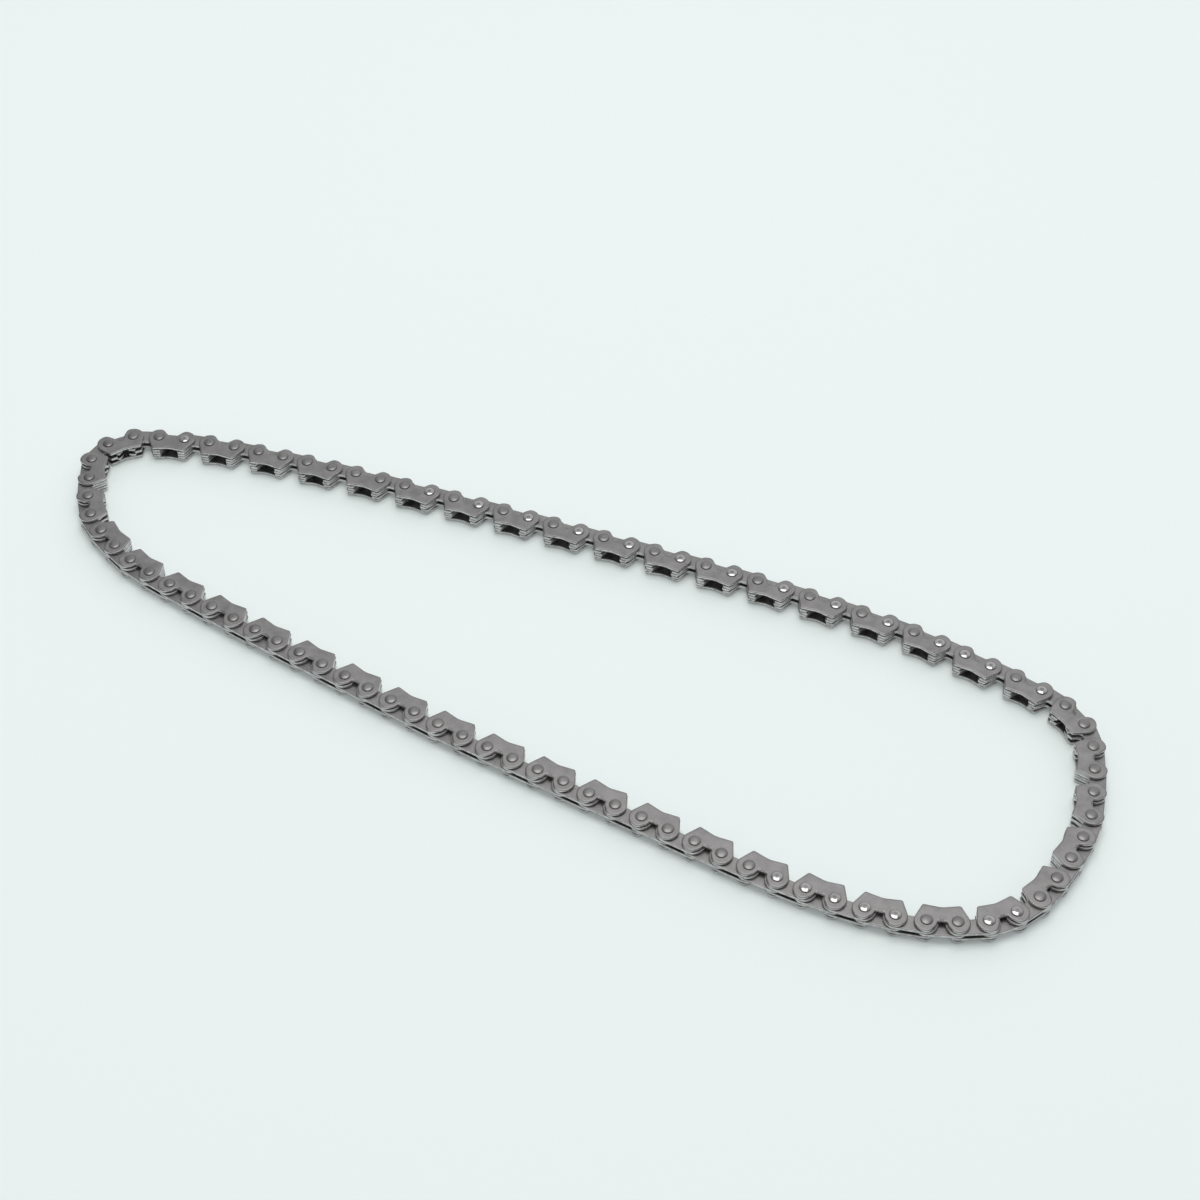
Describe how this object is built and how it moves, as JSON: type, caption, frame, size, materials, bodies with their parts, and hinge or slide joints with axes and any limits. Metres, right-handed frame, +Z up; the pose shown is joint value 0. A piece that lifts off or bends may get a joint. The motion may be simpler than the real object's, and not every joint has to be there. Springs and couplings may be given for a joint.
{
  "type": "timing chain",
  "caption": "Endless silent timing chain of inverted-tooth steel link plates on fixed pins, lying on its side, toes pointing into the loop.",
  "frame": {"origin": "on the surface that the chain lies on, under the middle of the loop", "axes": "+X along the loop's long way, towards its wide end; +Y across the loop; +Z up, along the pins"},
  "size_m": [0.257, 0.0824, 0.0044],
  "materials": {
    "plate_steel": "satin",
    "pin_steel": "satin"
  },
  "bodies": {
    "pair_01": {"link_pair_01": "plate_steel"},
    "pair_02": {"link_pair_02": "plate_steel"},
    "pair_03": {"link_pair_03": "plate_steel"},
    "pair_04": {"link_pair_04": "plate_steel"},
    "pair_05": {"link_pair_05": "plate_steel"},
    "pair_06": {"link_pair_06": "plate_steel"},
    "pair_07": {"link_pair_07": "plate_steel"},
    "pair_08": {"link_pair_08": "plate_steel"},
    "pair_09": {"link_pair_09": "plate_steel"},
    "pair_10": {"link_pair_10": "plate_steel"},
    "pair_11": {"link_pair_11": "plate_steel"},
    "pair_12": {"link_pair_12": "plate_steel"},
    "pair_13": {"link_13_guide_plate_bottom": "plate_steel", "link_13_guide_plate_top": "plate_steel", "link_13_middle_tooth_plate": "plate_steel", "link_13_first_pin": "pin_steel", "link_13_second_pin": "pin_steel", "link_13_inner_tooth_plate_lower": "plate_steel", "link_13_inner_tooth_plate_upper": "plate_steel"},
    "pair_14": {"link_pair_14": "plate_steel"},
    "pair_15": {"link_pair_15": "plate_steel"},
    "pair_16": {"link_pair_16": "plate_steel"},
    "pair_17": {"link_pair_17": "plate_steel"},
    "pair_18": {"link_pair_18": "plate_steel"},
    "pair_19": {"link_pair_19": "plate_steel"},
    "pair_20": {"link_pair_20": "plate_steel"},
    "pair_21": {"link_pair_21": "plate_steel"},
    "pair_22": {"link_pair_22": "plate_steel"},
    "pair_23": {"link_pair_23": "plate_steel"},
    "pair_24": {"link_pair_24": "plate_steel"},
    "pair_25": {"link_pair_25": "plate_steel"},
    "pair_26": {"link_pair_26": "plate_steel"},
    "pair_27": {"link_pair_27": "plate_steel"},
    "pair_28": {"link_pair_28": "plate_steel"},
    "pair_29": {"link_pair_29": "plate_steel"},
    "pair_30": {"link_pair_30": "plate_steel"},
    "pair_31": {"link_pair_31": "plate_steel"},
    "pair_32": {"link_pair_32": "plate_steel"},
    "pair_33": {"link_pair_33": "plate_steel"},
    "pair_34": {"link_34_guide_plate_bottom": "plate_steel", "link_34_guide_plate_top": "plate_steel", "link_34_middle_tooth_plate": "plate_steel", "link_34_first_pin": "pin_steel", "link_34_second_pin": "pin_steel", "link_34_inner_tooth_plate_lower": "plate_steel", "link_34_inner_tooth_plate_upper": "plate_steel"},
    "pair_35": {"link_pair_35": "plate_steel"},
    "pair_36": {"link_pair_36": "plate_steel"},
    "pair_37": {"link_pair_37": "plate_steel"},
    "pair_38": {"link_pair_38": "plate_steel"},
    "pair_39": {"link_pair_39": "plate_steel"},
    "pair_40": {"link_pair_40": "plate_steel"},
    "pair_41": {"link_pair_41": "plate_steel"},
    "pair_42": {"link_pair_42": "plate_steel"},
    "pair_43": {"link_pair_43": "plate_steel"},
    "pair_44": {"link_pair_44": "plate_steel"},
    "pair_45": {"link_pair_45": "plate_steel"}
  },
  "joints": [
    {"name": "pivot_35", "type": "hinge", "parent": "pair_34", "child": "pair_35", "pos_m": [0.0143, 0.0329, 0], "axis": [0, 0, 1], "range_deg": [-2.59, 6.48]},
    {"name": "pivot_36", "type": "hinge", "parent": "pair_35", "child": "pair_36", "pos_m": [0.00175, 0.03095, 0], "axis": [0, 0, 1], "range_deg": [-11.87, 40.13]},
    {"name": "pivot_37", "type": "hinge", "parent": "pair_36", "child": "pair_37", "pos_m": [-0.0108, 0.02902, 0], "axis": [0, 0, 1], "range_deg": [-12.1, 39.9]},
    {"name": "pivot_38", "type": "hinge", "parent": "pair_37", "child": "pair_38", "pos_m": [-0.02335, 0.02705, 0], "axis": [0, 0, 1], "range_deg": [-12.11, 39.89]},
    {"name": "pivot_39", "type": "hinge", "parent": "pair_38", "child": "pair_39", "pos_m": [-0.03588, 0.02502, 0], "axis": [0, 0, 1], "range_deg": [-12.18, 39.82]},
    {"name": "pivot_40", "type": "hinge", "parent": "pair_39", "child": "pair_40", "pos_m": [-0.04841, 0.02292, 0], "axis": [0, 0, 1], "range_deg": [-12.1, 39.9]},
    {"name": "pivot_41", "type": "hinge", "parent": "pair_40", "child": "pair_41", "pos_m": [-0.06092, 0.02076, 0], "axis": [0, 0, 1], "range_deg": [-12.43, 39.57]},
    {"name": "pivot_42", "type": "hinge", "parent": "pair_41", "child": "pair_42", "pos_m": [-0.0734, 0.0184, 0], "axis": [0, 0, 1], "range_deg": [-12.74, 39.26]},
    {"name": "pivot_43", "type": "hinge", "parent": "pair_42", "child": "pair_43", "pos_m": [-0.08582, 0.01574, 0], "axis": [0, 0, 1], "range_deg": [-12.7, 39.3]},
    {"name": "pivot_44", "type": "hinge", "parent": "pair_43", "child": "pair_44", "pos_m": [-0.09817, 0.01278, 0], "axis": [0, 0, 1], "range_deg": [-14.29, 37.71]},
    {"name": "pivot_45", "type": "hinge", "parent": "pair_44", "child": "pair_45", "pos_m": [-0.11029, 0.009, 0], "axis": [0, 0, 1], "range_deg": [-16.01, 35.99]},
    {"name": "pivot_01", "type": "hinge", "parent": "pair_45", "child": "pair_01", "pos_m": [-0.12182, 0.00369, 0], "axis": [0, 0, 1], "range_deg": [-40.1, 11.9]},
    {"name": "pivot_02", "type": "hinge", "parent": "pair_01", "child": "pair_02", "pos_m": [-0.12558, -0.00787, 0], "axis": [0, 0, 1], "range_deg": [-45.79, 6.21]},
    {"name": "pivot_03", "type": "hinge", "parent": "pair_02", "child": "pair_03", "pos_m": [-0.11851, -0.01842, 0], "axis": [0, 0, 1], "range_deg": [-20.63, 31.37]},
    {"name": "pivot_04", "type": "hinge", "parent": "pair_03", "child": "pair_04", "pos_m": [-0.10862, -0.02618, 0], "axis": [0, 0, 1], "range_deg": [-19.84, 32.16]},
    {"name": "pivot_05", "type": "hinge", "parent": "pair_04", "child": "pair_05", "pos_m": [-0.09672, -0.03058, 0], "axis": [0, 0, 1], "range_deg": [-21.08, 30.92]},
    {"name": "pivot_06", "type": "hinge", "parent": "pair_05", "child": "pair_06", "pos_m": [-0.08414, -0.0323, 0], "axis": [0, 0, 1], "range_deg": [-12.95, 39.05]},
    {"name": "pivot_07", "type": "hinge", "parent": "pair_06", "child": "pair_07", "pos_m": [-0.07149, -0.0334, 0], "axis": [0, 0, 1], "range_deg": [-12.26, 39.74]},
    {"name": "pivot_08", "type": "hinge", "parent": "pair_07", "child": "pair_08", "pos_m": [-0.05882, -0.03437, 0], "axis": [0, 0, 1], "range_deg": [-12.37, 39.63]},
    {"name": "pivot_09", "type": "hinge", "parent": "pair_08", "child": "pair_09", "pos_m": [-0.04615, -0.03519, 0], "axis": [0, 0, 1], "range_deg": [-12.11, 39.89]},
    {"name": "pivot_10", "type": "hinge", "parent": "pair_09", "child": "pair_10", "pos_m": [-0.03347, -0.03597, 0], "axis": [0, 0, 1], "range_deg": [-11.71, 40.29]},
    {"name": "pivot_11", "type": "hinge", "parent": "pair_10", "child": "pair_11", "pos_m": [-0.0208, -0.03684, 0], "axis": [0, 0, 1], "range_deg": [-12.28, 39.72]},
    {"name": "pivot_12", "type": "hinge", "parent": "pair_11", "child": "pair_12", "pos_m": [-0.00813, -0.03758, 0], "axis": [0, 0, 1], "range_deg": [-13.13, 38.87]},
    {"name": "pivot_34", "type": "hinge", "parent": "pair_34", "child": "pair_33", "pos_m": [0.02687, 0.0347, 0], "axis": [0, 0, -1], "range_deg": [-12.75, 39.25]},
    {"name": "pivot_33", "type": "hinge", "parent": "pair_33", "child": "pair_32", "pos_m": [0.03948, 0.03619, 0], "axis": [0, 0, -1], "range_deg": [-12.62, 39.38]},
    {"name": "pivot_32", "type": "hinge", "parent": "pair_32", "child": "pair_31", "pos_m": [0.05213, 0.03741, 0], "axis": [0, 0, -1], "range_deg": [-12.59, 39.41]},
    {"name": "pivot_31", "type": "hinge", "parent": "pair_31", "child": "pair_30", "pos_m": [0.06479, 0.0383, 0], "axis": [0, 0, -1], "range_deg": [-13.98, 38.02]},
    {"name": "pivot_30", "type": "hinge", "parent": "pair_30", "child": "pair_29", "pos_m": [0.07749, 0.03832, 0], "axis": [0, 0, -1], "range_deg": [-13.99, 38.01]},
    {"name": "pivot_29", "type": "hinge", "parent": "pair_29", "child": "pair_28", "pos_m": [0.09017, 0.03754, 0], "axis": [0, 0, -1], "range_deg": [-12.19, 39.81]},
    {"name": "pivot_28", "type": "hinge", "parent": "pair_28", "child": "pair_27", "pos_m": [0.10282, 0.03643, 0], "axis": [0, 0, -1], "range_deg": [-19.45, 32.55]},
    {"name": "pivot_27", "type": "hinge", "parent": "pair_27", "child": "pair_26", "pos_m": [0.11455, 0.03189, 0], "axis": [0, 0, -1], "range_deg": [-33.86, 18.14]},
    {"name": "pivot_26", "type": "hinge", "parent": "pair_26", "child": "pair_25", "pos_m": [0.12109, 0.02114, 0], "axis": [0, 0, -1], "range_deg": [-16.37, 35.63]},
    {"name": "pivot_25", "type": "hinge", "parent": "pair_25", "child": "pair_24", "pos_m": [0.12498, 0.00905, 0], "axis": [0, 0, -1], "range_deg": [-23.08, 28.92]},
    {"name": "pivot_24", "type": "hinge", "parent": "pair_24", "child": "pair_23", "pos_m": [0.1254, -0.00362, 0], "axis": [0, 0, -1], "range_deg": [-16.55, 35.45]},
    {"name": "pivot_23", "type": "hinge", "parent": "pair_23", "child": "pair_22", "pos_m": [0.12343, -0.01615, 0], "axis": [0, 0, -1], "range_deg": [-25.29, 26.71]},
    {"name": "pivot_22", "type": "hinge", "parent": "pair_22", "child": "pair_21", "pos_m": [0.11668, -0.02678, 0], "axis": [0, 0, -1], "range_deg": [-29.54, 22.46]},
    {"name": "pivot_21", "type": "hinge", "parent": "pair_21", "child": "pair_20", "pos_m": [0.10558, -0.03289, 0], "axis": [0, 0, -1], "range_deg": [-18.97, 33.03]},
    {"name": "pivot_20", "type": "hinge", "parent": "pair_20", "child": "pair_19", "pos_m": [0.09335, -0.03625, 0], "axis": [0, 0, -1], "range_deg": [-15.59, 36.41]},
    {"name": "pivot_19", "type": "hinge", "parent": "pair_19", "child": "pair_18", "pos_m": [0.08075, -0.03783, 0], "axis": [0, 0, -1], "range_deg": [-13.94, 38.06]},
    {"name": "pivot_18", "type": "hinge", "parent": "pair_18", "child": "pair_17", "pos_m": [0.06807, -0.03841, 0], "axis": [0, 0, -1], "range_deg": [-13.39, 38.61]},
    {"name": "pivot_17", "type": "hinge", "parent": "pair_17", "child": "pair_16", "pos_m": [0.05537, -0.0384, 0], "axis": [0, 0, -1], "range_deg": [-12.41, 39.59]},
    {"name": "pivot_16", "type": "hinge", "parent": "pair_16", "child": "pair_15", "pos_m": [0.04267, -0.03821, 0], "axis": [0, 0, -1], "range_deg": [-11.64, 40.36]},
    {"name": "pivot_15", "type": "hinge", "parent": "pair_15", "child": "pair_14", "pos_m": [0.02997, -0.03812, 0], "axis": [0, 0, -1], "range_deg": [-12.06, 39.94]},
    {"name": "pivot_14", "type": "hinge", "parent": "pair_14", "child": "pair_13", "pos_m": [0.01727, -0.03801, 0], "axis": [0, 0, -1], "range_deg": [-11.95, 40.05]}
  ],
  "couplings": [
    {"joint": "pivot_36", "follows": "pivot_35", "ratio": 0.99946},
    {"joint": "pivot_37", "follows": "pivot_35", "ratio": 1.3585},
    {"joint": "pivot_38", "follows": "pivot_35", "ratio": 1.2903},
    {"joint": "pivot_39", "follows": "pivot_35", "ratio": 0.72431},
    {"joint": "pivot_40", "follows": "pivot_35", "ratio": 0.56662},
    {"joint": "pivot_41", "follows": "pivot_35", "ratio": 0.17799},
    {"joint": "pivot_42", "follows": "pivot_35", "ratio": -0.57584},
    {"joint": "pivot_43", "follows": "pivot_35", "ratio": -0.67616},
    {"joint": "pivot_44", "follows": "pivot_35", "ratio": -0.80772},
    {"joint": "pivot_45", "follows": "pivot_35", "ratio": -1.1399},
    {"joint": "pivot_01", "follows": "pivot_35", "ratio": -0.72237},
    {"joint": "pivot_02", "follows": "pivot_35", "ratio": -1.3562},
    {"joint": "pivot_03", "follows": "pivot_35", "ratio": -0.92157},
    {"joint": "pivot_04", "follows": "pivot_35", "ratio": -0.89203},
    {"joint": "pivot_05", "follows": "pivot_35", "ratio": -0.8977},
    {"joint": "pivot_06", "follows": "pivot_35", "ratio": -0.38407},
    {"joint": "pivot_07", "follows": "pivot_35", "ratio": -0.083845},
    {"joint": "pivot_08", "follows": "pivot_35", "ratio": -0.098197},
    {"joint": "pivot_09", "follows": "pivot_35", "ratio": 0.27648},
    {"joint": "pivot_10", "follows": "pivot_35", "ratio": 1.0286},
    {"joint": "pivot_11", "follows": "pivot_35", "ratio": 1.0317},
    {"joint": "pivot_12", "follows": "pivot_35", "ratio": 1.1524},
    {"joint": "pivot_34", "follows": "pivot_35", "ratio": 0.98965},
    {"joint": "pivot_33", "follows": "pivot_35", "ratio": 0.45017},
    {"joint": "pivot_32", "follows": "pivot_35", "ratio": 0.21376},
    {"joint": "pivot_31", "follows": "pivot_35", "ratio": 0.51519},
    {"joint": "pivot_30", "follows": "pivot_35", "ratio": 0.50723},
    {"joint": "pivot_29", "follows": "pivot_35", "ratio": -0.35785},
    {"joint": "pivot_28", "follows": "pivot_35", "ratio": -0.4115},
    {"joint": "pivot_27", "follows": "pivot_35", "ratio": -0.96212},
    {"joint": "pivot_26", "follows": "pivot_35", "ratio": -1.2054},
    {"joint": "pivot_25", "follows": "pivot_35", "ratio": -1.1626},
    {"joint": "pivot_24", "follows": "pivot_35", "ratio": -0.92836},
    {"joint": "pivot_23", "follows": "pivot_35", "ratio": -1.5432},
    {"joint": "pivot_22", "follows": "pivot_35", "ratio": -1.5499},
    {"joint": "pivot_21", "follows": "pivot_35", "ratio": -0.41518},
    {"joint": "pivot_20", "follows": "pivot_35", "ratio": -0.12737},
    {"joint": "pivot_19", "follows": "pivot_35", "ratio": 0.14374},
    {"joint": "pivot_18", "follows": "pivot_35", "ratio": 0.80348},
    {"joint": "pivot_17", "follows": "pivot_35", "ratio": 0.87842},
    {"joint": "pivot_16", "follows": "pivot_35", "ratio": 0.38095},
    {"joint": "pivot_15", "follows": "pivot_35", "ratio": 0.23963},
    {"joint": "pivot_14", "follows": "pivot_35", "ratio": 0.94115}
  ]
}
